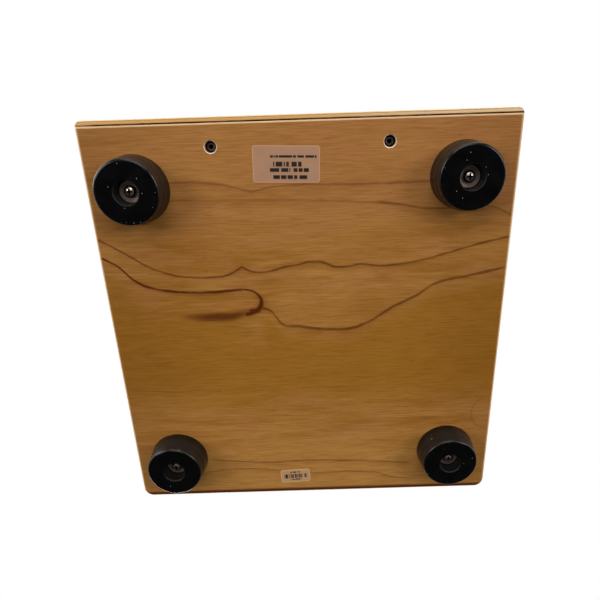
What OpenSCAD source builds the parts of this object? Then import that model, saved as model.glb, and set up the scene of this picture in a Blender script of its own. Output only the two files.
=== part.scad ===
// String cajon: a wooden box drum that stands on four rubber feet.
// +Z is up, the thin front plate faces -Y, and the origin is under the middle of the box on the ground.

/* [Case] */
// Width of the case from side to side
case_w = 300; // [280:1:340]
// Depth of the case behind the front plate
case_d = 308; // [280:1:340]
// Height of the wooden case, without its feet
case_h = 460; // [420:1:500]
// Thickness of the top, bottom and side panels
panel_t = 12; // [11:0.5:15]
// Radius of the upright corners at the back
rear_corner_r = 8; // [6:0.5:10]
// Radius of the upright corners at the front
front_corner_r = 6; // [3.6:0.1:6]
// Round-over on the long outer edges of the top and bottom
edge_round = 3; // [1.5:0.5:5]
// Small easing on the edges along the front joint
edge_ease = 0.8; // [0.4:0.1:1.2]
// Small easing on the back edges of the front plate
plate_ease = 0.4; // [0.2:0.1:0.6]

/* [Front and back] */
// Thickness of the playing plate
plate_t = 3.5; // [3:0.1:5]
// Thickness of the back panel
back_t = 5; // [4:0.5:6]
// Diameter of the sound hole
sound_hole_d = 120; // [90:1:150]
// Height of the sound hole's centre above the middle of the case
sound_hole_rise = 50; // [0:1:80]
// Plate screws down each side
side_screws = 6; // [4:1:8]

/* [Feet] */
// Height of a foot
foot_h = 19; // [16:0.5:24]
// Diameter of a foot where it meets the bottom
foot_base_d = 47; // [40:0.5:50]
// Diameter of a foot at the ground
foot_end_d = 43.4; // [36:0.2:44]
// Distance of a foot's centre from the side of the case
foot_inset_x = 37.5; // [30:0.5:45]
// Distance of a foot's centre from the front and back of the case
foot_inset_y = 41.5; // [36:0.5:50]

/* [String tuning] */
// Distance between the two tuning bolts
bolt_spacing = 121.2; // [110:0.2:140]
// Distance of the tuning bolts behind the front plate
bolt_setback = 15.4; // [15:0.1:18]
// Thread diameter of a tuning bolt
bolt_d = 4; // [3.5:0.5:5]
// Length of a tuning bolt under its head
bolt_len = 40; // [38:1:44]
// Diameter of a snare string
string_d = 0.9; // [0.6:0.1:1]
// Distance between the two strings of a pair at the bottom
string_gap_low = 22; // [20:1:24]
// Distance between the two strings of a pair at the top
string_gap_high = 50; // [36:1:54]

/* [Hidden] */

$fn = 64;

LEFT = -1;
RIGHT = 1;
OUTER = 1;
INNER = -1;
past = 1;                       // how far a cutter runs past the face it cuts

// Case
half_w = case_w / 2;
total_d = case_d + plate_t;
plate_face_y = -total_d / 2;    // outer face of the front plate
case_front_y = plate_face_y + plate_t;
rear_y = total_d / 2;
case_low_z = foot_h;
case_high_z = foot_h + case_h;
inside_low_z = case_low_z + panel_t;
inside_high_z = case_high_z - panel_t;
inside_half_w = half_w - panel_t;
block_leg = 18;
block_setback = 40;             // from the front joint to the front end of a corner block
block_rear_gap = 48;            // from the back of the case to the rear end of a corner block
block_front_y = case_front_y + block_setback;
block_rear_y = rear_y - block_rear_gap;

// Back panel in its rebate
rebate_w = 6;
back_recess = 0.5;
back_gap = 0.2;
rebate_d = back_t + back_recess;
sound_hole_z = foot_h + case_h / 2 + sound_hole_rise;

// Screws
pilot_gap = 0.1;                // a hole is this much wider than the screw in it
plate_screw_d = 3.4;
plate_screw_len = 20;
plate_screw_head_d = 7;
plate_screw_head_h = 1.8;
plate_screw_x = half_w - panel_t / 2;
plate_screw_margin = 10;         // from the end panels to the nearest side screw
plate_screw_low_z = inside_low_z + plate_screw_margin;
plate_screw_high_z = inside_high_z - plate_screw_margin;
plate_screw_step = (plate_screw_high_z - plate_screw_low_z) / (side_screws - 1);
end_screw_xs = [-90, 0, 90];
small_screw_d = 3;
small_screw_len = 9;
small_screw_head_d = 5.6;
small_screw_head_h = 2;
cross_arm = 0.55;               // cross recess: arm, width and depth as shares of the head's width
cross_width = 0.16;
cross_depth = 0.2;
dome_share = 0.75;              // radius of a pan head's dome, as a share of its width

// Feet
foot_round = 2;
foot_groove_z = 7.4;
foot_groove = 0.4;              // depth of the moulded groove, and half its width
foot_slope = atan((foot_base_d - foot_end_d) / 2 / foot_h);
foot_x = half_w - foot_inset_x;
foot_front_y = case_front_y + foot_inset_y;
foot_rear_y = rear_y - foot_inset_y;
// Each foot was screwed on by hand, a little off its nominal place
foot_shift_front_left = [-2.4, 0.4];
foot_shift_front_right = [-0.3, -2.4];
foot_shift_rear_left = [-0.7, 0.5];
foot_shift_rear_right = [0.6, -0.2];
FRONT_LEFT_AT = [-foot_x, foot_front_y] + foot_shift_front_left;
FRONT_RIGHT_AT = [foot_x, foot_front_y] + foot_shift_front_right;
REAR_LEFT_AT = [-foot_x, foot_rear_y] + foot_shift_rear_left;
REAR_RIGHT_AT = [foot_x, foot_rear_y] + foot_shift_rear_right;
foot_bore_d = 4.4;
foot_recess_d = 16.5;
foot_recess_ease = 0.6;
foot_washer_d = 15;
foot_washer_t = 1.2;
foot_screw_d = 4;
foot_screw_head_d = 8;
foot_screw_head_h = 3.1;
foot_screw_top_z = 5.8;         // depth of the screw head above the ground
foot_screw_bite = 10;           // how far the screw enters the bottom panel
foot_washer_z = foot_screw_top_z + foot_screw_head_h;
foot_floor_z = foot_washer_z + foot_washer_t;
foot_screw_len = foot_h - foot_washer_z + foot_screw_bite;

// Tuning bolts
bolt_x = bolt_spacing / 2;
bolt_y = case_front_y + bolt_setback;
bolt_head_d = 7;
bolt_head_h = 4;
bolt_socket_w = 3;              // across the flats
bolt_socket_depth = 2.2;
bolt_bore_gap = 0.6;
bolt_bore_d = bolt_d + bolt_bore_gap;
counterbore_d = 8;
counterbore_depth = 8;
counterbore_mouth_d = 9;
bolt_washer_d = 7.6;
bolt_washer_t = 0.8;
bolt_seat_z = case_low_z + counterbore_depth - bolt_washer_t;
bolt_clearance = 0.4;           // washer bore over bolt or screw diameter

// Guide brackets and string carriages
sheet_t = 1.5;
slide_gap = 0.3;
carriage_w = 15.8;
carriage_depth = 13;
carriage_h = 10;
carriage_rise = 15;             // height of the carriage above the bottom panel
carriage_z = inside_low_z + carriage_rise;
carriage_front_y = bolt_y - carriage_depth / 2;
lip_margin = 4;                 // lip beyond each string
lip_w = string_gap_low + 2 * lip_margin;
lip_t = 3;
lip_setback = 1.4;
lip_front_y = case_front_y + lip_setback;
thread_gap = 0.1;               // bore over bolt diameter
bracket_wall_h = 35;
bracket_inner_w = carriage_w + 2 * slide_gap;
bracket_w = bracket_inner_w + 2 * sheet_t;
bracket_setback = 0.5;           // bracket wall behind the carriage's front
bracket_front_y = carriage_front_y + bracket_setback;
bracket_depth = 12;
bracket_tab = 16;
bracket_screw_y = bracket_front_y + bracket_depth + bracket_tab / 2;
bracket_screw_x = 5;

// Strings, their ends, anchors and bridge bars
string_r = string_d / 2;
bend_swell = 0.06;              // a string swells this much where it bends
bend_r = string_r + bend_swell;
string_hole_gap = 0.4;
string_hole_d = string_d + string_hole_gap;
string_end_d = 3.2;
string_setback = 3.2;           // strings at the carriage behind the front joint
string_low_y = case_front_y + string_setback;
string_gap = 0.15;              // between the strings and the plate or felt at the bridge bars
string_touch_y = case_front_y + string_r + string_gap;
string_lead = 1;                // straight part of a string over the lip
bar_size = 12;
felt_t = 1;
felt_front_y = string_touch_y + string_r + string_gap;
bar_front_y = felt_front_y + felt_t;
lower_bar_rise = 59;
upper_bar_drop = 63;
lower_bar_z = inside_low_z + lower_bar_rise;
upper_bar_z = inside_high_z - upper_bar_drop;
anchor_margin = 7;              // anchor beyond each string
anchor_w = string_gap_high + 2 * anchor_margin;
anchor_setback = 4.5;
anchor_front_y = case_front_y + anchor_setback;
anchor_depth = 22;
anchor_drop = 22;
anchor_hole_drop = 16;
anchor_hole_z = inside_high_z - anchor_hole_drop;
anchor_screw_setback = 14;
anchor_screw_y = anchor_front_y + anchor_screw_setback;
anchor_screw_x = 20;
anchor_lead = 1.5;              // straight part of a string in front of its anchor
string_high_y = anchor_front_y - anchor_lead;

// Labels on the bottom
label_t = 0.15;
maker_label_size = [46, 24.4];
maker_label_x = -10;
maker_label_setback = 28.2;
maker_label_y = case_front_y + maker_label_setback;
maker_label_turn = 1.9;
stock_label_size = [25.5, 13];
stock_label_x = -15.3;
stock_label_gap = 18;           // from the label's middle to the back edge of the box
stock_label_y = rear_y - stock_label_gap;
stock_label_turn = -2.9;
label_corner_r = 1.6;

// ---- plan outline and edge work ----

// Plan of the whole box, front plate included
module plan_outline() {
    translate([-half_w, plate_face_y + front_corner_r])
        square([case_w, total_d - front_corner_r - rear_corner_r]);
    translate([front_corner_r - half_w, plate_face_y])
        square([case_w - 2 * front_corner_r, front_corner_r + past]);
    translate([rear_corner_r - half_w, rear_y - rear_corner_r - past])
        square([case_w - 2 * rear_corner_r, rear_corner_r + past]);
    for (side = [LEFT, RIGHT]) {
        translate([side * (half_w - front_corner_r), plate_face_y + front_corner_r])
            circle(front_corner_r);
        translate([side * (half_w - rear_corner_r), rear_y - rear_corner_r])
            circle(rear_corner_r);
    }
}

// Part of the box's plan between two depths, raised to a height
module plan_slice(y_from, y_to, z, height) {
    intersection() {
        translate([0, 0, z]) linear_extrude(height) plan_outline();
        translate([-case_w, y_from, z]) cube([2 * case_w, y_to - y_from, height]);
    }
}

// Section of what a quarter-round cutter of radius r takes off a lower outer edge at the origin
module edge_section(r) {
    difference() {
        translate([-r, -past]) square([r + past, r + past]);
        translate([-r, r]) circle(r);
    }
}

// The same along a straight edge in X, whose outer side faces +Y
module edge_waste_x(length, r) {
    translate([-length / 2, 0, 0]) rotate([90, 0, 90]) linear_extrude(length) edge_section(r);
}

// The same along a straight edge in Y, whose outer side faces +X, running from the origin to -Y
module edge_waste_y(length, r) {
    rotate([90, 0, 0]) linear_extrude(length) edge_section(r);
}

// The same round an upright corner of radius corner_r, from +X to +Y
module edge_waste_corner(corner_r, r) {
    rotate_extrude(angle = 90) translate([corner_r, 0]) edge_section(r);
}

// Everything rounded off the two long sides and the back, at height 0
module outer_edge_waste() {
    side_len = total_d - rear_corner_r + past;
    translate([0, rear_y, 0]) edge_waste_x(case_w - 2 * rear_corner_r, edge_round);
    for (side = [0, 1]) mirror([side, 0, 0]) {
        translate([half_w, rear_y - rear_corner_r, 0]) edge_waste_y(side_len, edge_round);
        translate([half_w - rear_corner_r, rear_y - rear_corner_r, 0])
            edge_waste_corner(rear_corner_r, edge_round);
    }
}

// ---- fasteners ----

// Cross recess cut from the top of a screw head at height 0
module cross_recess(head_d) {
    arm = head_d * cross_arm;
    width = head_d * cross_width;
    depth = head_d * cross_depth;
    for (turn = [0, 90])
        rotate([0, 0, turn]) translate([-arm / 2, -width / 2, -depth]) cube([arm, width, depth + past]);
}

// Countersunk screw, head flush with height 0 and pointing down
module countersunk_screw(head_d, head_h, d, length) {
    difference() {
        union() {
            translate([0, 0, -head_h]) cylinder(h = head_h, d1 = d, d2 = head_d);
            translate([0, 0, -length]) cylinder(h = length - head_h, d = d);
        }
        cross_recess(head_d);
    }
}

// Room for a countersunk screw, from height 0 down
module countersunk_hole(head_d, head_h, d, length) {
    wide = d + pilot_gap;
    translate([0, 0, -head_h]) cylinder(h = head_h, d1 = d, d2 = head_d);
    translate([0, 0, -length - pilot_gap]) cylinder(h = length, d = wide);
}

// Pan-head screw, underside of the head at height 0 and shank pointing down
module pan_screw(head_d, head_h, d, length) {
    dome_r = head_d * dome_share;
    difference() {
        union() {
            intersection() {
                cylinder(h = head_h, d = head_d);
                translate([0, 0, head_h - dome_r]) sphere(dome_r);
            }
            translate([0, 0, -length]) cylinder(h = length + head_h / 4, d = d);
        }
        translate([0, 0, head_h]) cross_recess(head_d);
    }
}

// Flat washer resting on height 0
module flat_washer(outer_d, bore_d, thickness) {
    difference() {
        cylinder(h = thickness, d = outer_d);
        translate([0, 0, -past]) cylinder(h = thickness + 2 * past, d = bore_d);
    }
}

// Puts its child at every front plate screw, pointing into the case
module at_plate_screws() {
    for (side = [LEFT, RIGHT], i = [0 : side_screws - 1])
        translate([side * plate_screw_x, plate_face_y, plate_screw_low_z + i * plate_screw_step])
            rotate([90, 0, 0]) children();
    for (x = end_screw_xs, z = [case_low_z + panel_t / 2, case_high_z - panel_t / 2])
        translate([x, plate_face_y, z]) rotate([90, 0, 0]) children();
}

module plate_screw_holes() {
    at_plate_screws()
        countersunk_hole(plate_screw_head_d, plate_screw_head_h, plate_screw_d, plate_screw_len);
}

// Puts its child under every foot's centre, on the ground
module at_feet() {
    for (place = [FRONT_LEFT_AT, FRONT_RIGHT_AT, REAR_LEFT_AT, REAR_RIGHT_AT])
        translate(place) children();
}

// Puts its child on both tuning bolt axes
module at_bolts() {
    for (side = [LEFT, RIGHT]) translate([side * bolt_x, bolt_y, 0]) children();
}

// Puts its child at the guide bracket screws of both brackets, on top of their tabs
module at_bracket_screws() {
    for (side = [LEFT, RIGHT], across = [-bracket_screw_x, bracket_screw_x])
        translate([side * bolt_x + across, bracket_screw_y, inside_low_z + sheet_t]) children();
}

// Puts its child, turned over, at the string anchor screws, under the anchors
module at_anchor_screws() {
    for (side = [LEFT, RIGHT], across = [-anchor_screw_x, anchor_screw_x])
        translate([side * bolt_x + across, anchor_screw_y, inside_high_z - sheet_t])
            mirror([0, 0, 1]) children();
}

// Pilot hole of a small screw whose head rests on a sheet metal part
module small_pilot_hole() {
    translate([0, 0, -small_screw_len - pilot_gap])
        cylinder(h = small_screw_len + pilot_gap, d = small_screw_d + pilot_gap);
}

// ---- case ----

// End panel with its outer face down at height 0 and a rebate for the back panel
module end_panel() {
    difference() {
        plan_slice(case_front_y, rear_y, 0, panel_t);
        outer_edge_waste();
        translate([0, case_front_y, 0]) mirror([0, 1, 0])
            edge_waste_x(case_w + 2 * past, edge_ease);
        translate([rebate_w - half_w, rear_y - rebate_d, panel_t - rebate_w])
            cube([case_w - 2 * rebate_w, rebate_d + past, rebate_w + past]);
    }
}

module bottom_panel() {
    color("burlywood") difference() {
        translate([0, 0, case_low_z]) end_panel();
        plate_screw_holes();
        at_feet() translate([0, 0, foot_h - past])
            cylinder(h = foot_screw_bite + past + pilot_gap, d = foot_screw_d + pilot_gap);
        at_bolts() {
            translate([0, 0, case_low_z - past]) cylinder(h = panel_t + 2 * past, d = bolt_bore_d);
            translate([0, 0, case_low_z - past])
                cylinder(h = counterbore_depth + past, d = counterbore_d);
            translate([0, 0, case_low_z])
                cylinder(h = (counterbore_mouth_d - counterbore_d) / 2,
                    d1 = counterbore_mouth_d, d2 = counterbore_d);
        }
        at_bracket_screws() small_pilot_hole();
    }
}

module top_panel() {
    color("burlywood") difference() {
        translate([0, 0, case_high_z]) mirror([0, 0, 1]) end_panel();
        plate_screw_holes();
        at_anchor_screws() small_pilot_hole();
    }
}

module side_panel(side) {
    inner_x = side == LEFT ? -half_w - past : inside_half_w;
    rebate_x = side == LEFT ? -half_w + rebate_w : inside_half_w - past;
    color("burlywood") difference() {
        intersection() {
            plan_slice(case_front_y, rear_y, inside_low_z, case_h - 2 * panel_t);
            translate([inner_x, -total_d, inside_low_z])
                cube([panel_t + past, 2 * total_d, case_h - 2 * panel_t]);
        }
        translate([rebate_x, rear_y - rebate_d, inside_low_z - past])
            cube([panel_t - rebate_w + past, rebate_d + past, case_h - 2 * panel_t + 2 * past]);
        plate_screw_holes();
    }
}

module side_panel_left() { side_panel(LEFT); }
module side_panel_right() { side_panel(RIGHT); }

module front_plate() {
    color("peru") difference() {
        plan_slice(plate_face_y, case_front_y, case_low_z, case_h);
        for (end = [0, 1]) translate([0, 0, end * (case_low_z + case_high_z)]) mirror([0, 0, end]) {
            translate([0, plate_face_y, case_low_z]) mirror([0, 1, 0])
                edge_waste_x(case_w + 2 * past, edge_ease);
            translate([0, case_front_y, case_low_z]) edge_waste_x(case_w + 2 * past, plate_ease);
            for (side = [0, 1]) mirror([side, 0, 0]) translate([half_w, case_front_y + past, case_low_z])
                edge_waste_y(plate_t + 2 * past, edge_round);
        }
        plate_screw_holes();
    }
}

module front_plate_screws() {
    color("dimgray") at_plate_screws()
        countersunk_screw(plate_screw_head_d, plate_screw_head_h, plate_screw_d, plate_screw_len);
}

module back_panel() {
    inset = rebate_w + back_gap;
    color("tan") difference() {
        translate([inset - half_w, rear_y - rebate_d, case_low_z + inset])
            cube([case_w - 2 * inset, back_t, case_h - 2 * inset]);
        translate([0, rear_y + past, sound_hole_z]) rotate([90, 0, 0])
            cylinder(h = rebate_d + 2 * past, d = sound_hole_d, $fn = 128);
    }
}

// Three-sided glue block along a long inside corner
module corner_block(side, z, up) {
    color("wheat") translate([side * inside_half_w, block_rear_y, z]) rotate([90, 0, 0])
        linear_extrude(block_rear_y - block_front_y)
            polygon([[0, 0], [-side * block_leg, 0], [0, up * block_leg]]);
}

module corner_block_top_left() { corner_block(LEFT, inside_high_z, -1); }
module corner_block_top_right() { corner_block(RIGHT, inside_high_z, -1); }
module corner_block_bottom_left() { corner_block(LEFT, inside_low_z, 1); }
module corner_block_bottom_right() { corner_block(RIGHT, inside_low_z, 1); }

// ---- feet ----

// Radius of a foot's side at a height
function foot_side_r(z) = foot_base_d / 2 - (foot_h - z) * tan(foot_slope);

// Tapered rubber foot with a rounded rim, a fine groove and a recess for its washer and screw
module foot(place) {
    arc_x = foot_end_d / 2 - foot_round * (1 - sin(foot_slope)) / cos(foot_slope);
    tangent = [arc_x + foot_round * cos(foot_slope), foot_round * (1 - sin(foot_slope))];
    bore_r = foot_bore_d / 2;
    recess_r = foot_recess_d / 2;
    color("#1c1c1c") translate(place) rotate_extrude($fn = 96) {
        polygon([
            [recess_r + foot_recess_ease, 0], [arc_x, 0], tangent,
            [foot_side_r(foot_groove_z - foot_groove), foot_groove_z - foot_groove],
            [foot_side_r(foot_groove_z) - foot_groove, foot_groove_z],
            [foot_side_r(foot_groove_z + foot_groove), foot_groove_z + foot_groove],
            [foot_side_r(foot_h), foot_h], [bore_r, foot_h],
            [bore_r, foot_floor_z], [recess_r, foot_floor_z],
            [recess_r, foot_recess_ease]
        ]);
        translate([arc_x, foot_round]) circle(foot_round);
    }
}

module foot_front_left() { foot(FRONT_LEFT_AT); }
module foot_front_right() { foot(FRONT_RIGHT_AT); }
module foot_rear_left() { foot(REAR_LEFT_AT); }
module foot_rear_right() { foot(REAR_RIGHT_AT); }

module foot_washers() {
    color("slategray") at_feet() translate([0, 0, foot_washer_z])
        flat_washer(foot_washer_d, foot_screw_d + bolt_clearance, foot_washer_t);
}

module foot_screws() {
    color("silver") at_feet() translate([0, 0, foot_washer_z]) mirror([0, 0, 1])
        pan_screw(foot_screw_head_d, foot_screw_head_h, foot_screw_d, foot_screw_len);
}

// ---- string tuning ----

// Socket-head bolt that hangs on its washer with the socket facing down
module tuning_bolt(side) {
    color("gray") translate([side * bolt_x, bolt_y, 0]) difference() {
        union() {
            translate([0, 0, bolt_seat_z - bolt_head_h]) cylinder(h = bolt_head_h, d = bolt_head_d);
            translate([0, 0, bolt_seat_z - past]) cylinder(h = bolt_len + past, d = bolt_d);
        }
        translate([0, 0, bolt_seat_z - bolt_head_h - past])
            cylinder(h = bolt_socket_depth + past, d = bolt_socket_w / cos(30), $fn = 6);
    }
}

module tuning_bolt_left() { tuning_bolt(LEFT); }
module tuning_bolt_right() { tuning_bolt(RIGHT); }

module tuning_bolt_washers() {
    color("silver") at_bolts() translate([0, 0, bolt_seat_z])
        flat_washer(bolt_washer_d, bolt_d + bolt_clearance, bolt_washer_t);
}

// Channel that keeps the carriage from turning, with a tab screwed to the bottom panel
module guide_bracket(side) {
    color("lightsteelblue") difference() {
        union() {
            translate([side * bolt_x - bracket_w / 2, bracket_front_y, inside_low_z])
                cube([bracket_w, bracket_depth + bracket_tab, sheet_t]);
            for (wall_x = [-bracket_w / 2, bracket_w / 2 - sheet_t])
                translate([side * bolt_x + wall_x, bracket_front_y, inside_low_z])
                    cube([sheet_t, bracket_depth, bracket_wall_h]);
        }
        translate([side * bolt_x, bolt_y, inside_low_z - past])
            cylinder(h = sheet_t + 2 * past, d = bolt_bore_d);
        at_bracket_screws() small_pilot_hole();
    }
}

module guide_bracket_left() { guide_bracket(LEFT); }
module guide_bracket_right() { guide_bracket(RIGHT); }

module guide_bracket_screws() {
    color("silver") at_bracket_screws()
        pan_screw(small_screw_head_d, small_screw_head_h, small_screw_d, small_screw_len);
}

// Threaded block that the bolt pulls down, with a lip that holds two strings
module string_carriage(side) {
    color("darkgray") difference() {
        union() {
            translate([side * bolt_x - carriage_w / 2, carriage_front_y, carriage_z])
                cube([carriage_w, carriage_depth, carriage_h]);
            translate([side * bolt_x - lip_w / 2, lip_front_y, carriage_z])
                cube([lip_w, carriage_front_y - lip_front_y, lip_t]);
        }
        translate([side * bolt_x, bolt_y, carriage_z - past])
            cylinder(h = carriage_h + 2 * past, d = bolt_d + thread_gap);
        for (which = [INNER, OUTER])
            translate([string_low_x(side, which), string_low_y, carriage_z - past])
                cylinder(h = lip_t + 2 * past, d = string_hole_d);
    }
}

module string_carriage_left() { string_carriage(LEFT); }
module string_carriage_right() { string_carriage(RIGHT); }

// ---- strings ----

function string_low_x(side, which) = side * (bolt_x + which * string_gap_low / 2);
function string_high_x(side, which) = side * (bolt_x + which * string_gap_high / 2);

// A string's x at a height, on the straight line between its two ends
function string_x(side, which, z) = string_low_x(side, which)
    + (string_high_x(side, which) - string_low_x(side, which))
    * (z - carriage_z) / (anchor_hole_z - carriage_z);

// Points a string passes: carriage lip, outer edges of both bridge bars, anchor hole
function string_points(side, which) = let(
    lip_z = carriage_z + lip_t + string_lead,
    low_z = lower_bar_z,
    high_z = upper_bar_z + bar_size,
    low_x = string_low_x(side, which),
    high_x = string_high_x(side, which)
) [
    [low_x, string_low_y, carriage_z],
    [low_x, string_low_y, lip_z],
    [string_x(side, which, low_z), string_touch_y, low_z],
    [string_x(side, which, high_z), string_touch_y, high_z],
    [high_x, string_high_y, anchor_hole_z],
    [high_x, anchor_front_y + sheet_t, anchor_hole_z]
];

// Straight round rod between two points
module rod(from, to, r) {
    along = to - from;
    length = norm(along);
    tilt = acos(along.z / length);
    turn = atan2(along.y, along.x);
    translate(from) rotate([0, tilt, turn]) cylinder(h = length, r = r, $fn = 24);
}

module snare_string(side, which) {
    points = string_points(side, which);
    last = len(points) - 1;
    color("gold") {
        for (i = [0 : last - 1]) rod(points[i], points[i + 1], string_r);
        for (i = [1 : last - 1]) translate(points[i]) sphere(bend_r, $fn = 24);
    }
}

module string_left_outer() { snare_string(LEFT, OUTER); }
module string_left_inner() { snare_string(LEFT, INNER); }
module string_right_inner() { snare_string(RIGHT, INNER); }
module string_right_outer() { snare_string(RIGHT, OUTER); }

// Barrel-shaped ends under the carriage lip
module lower_string_ends(side) {
    color("goldenrod") for (which = [INNER, OUTER])
        translate([string_low_x(side, which), string_low_y, carriage_z - string_end_d])
            cylinder(h = string_end_d, d = string_end_d);
}

module lower_string_ends_left() { lower_string_ends(LEFT); }
module lower_string_ends_right() { lower_string_ends(RIGHT); }

// Barrel-shaped ends behind the anchors
module upper_string_ends() {
    color("goldenrod") for (side = [LEFT, RIGHT], which = [INNER, OUTER])
        translate([string_high_x(side, which), anchor_front_y + sheet_t + string_end_d, anchor_hole_z])
            rotate([90, 0, 0]) cylinder(h = string_end_d, d = string_end_d);
}

// Steel angle under the top panel that holds the upper ends of one pair
module string_anchor(side) {
    color("lightsteelblue") difference() {
        translate([side * bolt_x - anchor_w / 2, anchor_front_y, inside_high_z - anchor_drop]) union() {
            cube([anchor_w, sheet_t, anchor_drop]);
            translate([0, 0, anchor_drop - sheet_t]) cube([anchor_w, anchor_depth, sheet_t]);
        }
        for (which = [INNER, OUTER])
            translate([string_high_x(side, which), anchor_front_y + sheet_t + past, anchor_hole_z])
                rotate([90, 0, 0]) cylinder(h = sheet_t + 2 * past, d = string_hole_d);
        at_anchor_screws() small_pilot_hole();
    }
}

module string_anchor_left() { string_anchor(LEFT); }
module string_anchor_right() { string_anchor(RIGHT); }

module string_anchor_screws() {
    color("silver") at_anchor_screws()
        pan_screw(small_screw_head_d, small_screw_head_h, small_screw_d, small_screw_len);
}

// Hardwood bar across the case that keeps the strings against the front plate
module bridge_bar(z) {
    color("wheat") translate([-inside_half_w, bar_front_y, z])
        cube([2 * inside_half_w, bar_size, bar_size]);
}

module bridge_bar_lower() { bridge_bar(lower_bar_z); }
module bridge_bar_upper() { bridge_bar(upper_bar_z); }

// Felt strip on the front of each bridge bar
module bridge_felts() {
    color("darkslategray") for (z = [lower_bar_z, upper_bar_z])
        translate([-inside_half_w, felt_front_y, z]) cube([2 * inside_half_w, felt_t, bar_size]);
}

// ---- labels ----

// Thin rounded paper label under the bottom panel
module label(size, x, y, turn) {
    corner = size / 2 - [label_corner_r, label_corner_r];
    translate([x, y, case_low_z - label_t]) rotate([0, 0, turn]) linear_extrude(label_t) {
        square([size.x, 2 * corner.y], center = true);
        square([2 * corner.x, size.y], center = true);
        for (sx = [-1, 1], sy = [-1, 1])
            translate([sx * corner.x, sy * corner.y]) circle(label_corner_r);
    }
}

module maker_label() {
    color("rosybrown") label(maker_label_size, maker_label_x, maker_label_y, maker_label_turn);
}

module stock_label() {
    color("tan") label(stock_label_size, stock_label_x, stock_label_y, stock_label_turn);
}

bottom_panel();
top_panel();
side_panel_left();
side_panel_right();
front_plate();
back_panel();
front_plate_screws();
corner_block_top_left();
corner_block_top_right();
corner_block_bottom_left();
corner_block_bottom_right();
foot_front_left();
foot_front_right();
foot_rear_left();
foot_rear_right();
foot_washers();
foot_screws();
tuning_bolt_left();
tuning_bolt_right();
tuning_bolt_washers();
guide_bracket_left();
guide_bracket_right();
guide_bracket_screws();
string_carriage_left();
string_carriage_right();
lower_string_ends_left();
lower_string_ends_right();
upper_string_ends();
string_left_outer();
string_left_inner();
string_right_inner();
string_right_outer();
string_anchor_left();
string_anchor_right();
string_anchor_screws();
bridge_bar_lower();
bridge_bar_upper();
bridge_felts();
maker_label();
stock_label();
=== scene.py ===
"""String cajon: looks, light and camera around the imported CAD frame.

The case is veneered plywood with a clear satin lacquer, the feet are moulded rubber, and the hardware
is plain steel.
All lengths in this script are millimetres until mm() turns them into Blender's metres.
"""

import math

import bpy
from mathutils import Matrix, Vector


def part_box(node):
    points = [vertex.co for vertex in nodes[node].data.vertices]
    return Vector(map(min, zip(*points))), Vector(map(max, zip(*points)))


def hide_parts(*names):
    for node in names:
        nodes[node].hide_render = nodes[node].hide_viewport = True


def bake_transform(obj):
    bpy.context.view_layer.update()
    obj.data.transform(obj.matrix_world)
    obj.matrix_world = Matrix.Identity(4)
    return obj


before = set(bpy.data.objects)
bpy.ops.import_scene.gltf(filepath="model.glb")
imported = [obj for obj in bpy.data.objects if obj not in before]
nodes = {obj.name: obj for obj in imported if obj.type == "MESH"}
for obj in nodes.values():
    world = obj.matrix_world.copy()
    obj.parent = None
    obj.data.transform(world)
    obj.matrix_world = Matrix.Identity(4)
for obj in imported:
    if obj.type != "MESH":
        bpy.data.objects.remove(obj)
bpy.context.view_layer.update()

SCENE = bpy.context.scene


def mm(*values):
    """Millimetres to metres, as a vector for three values or a number for one."""
    return values[0] / 1000 if len(values) == 1 else Vector(values) / 1000


def box_mm(node):
    """Lowest and highest corner of a CAD node, in millimetres."""
    low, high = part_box(node)
    return low * 1000, high * 1000


BOTTOM_LOW, BOTTOM_HIGH = box_mm("bottom_panel")
PLATE_LOW, PLATE_HIGH = box_mm("front_plate")
JOINT_Y = PLATE_HIGH.y  # where the front plate meets the case
BOTTOM_Z = BOTTOM_LOW.z
FEET = ("foot_front_left", "foot_front_right", "foot_rear_left", "foot_rear_right")
BOLTS = ("tuning_bolt_left", "tuning_bolt_right")


# ---- node building ----


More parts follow.
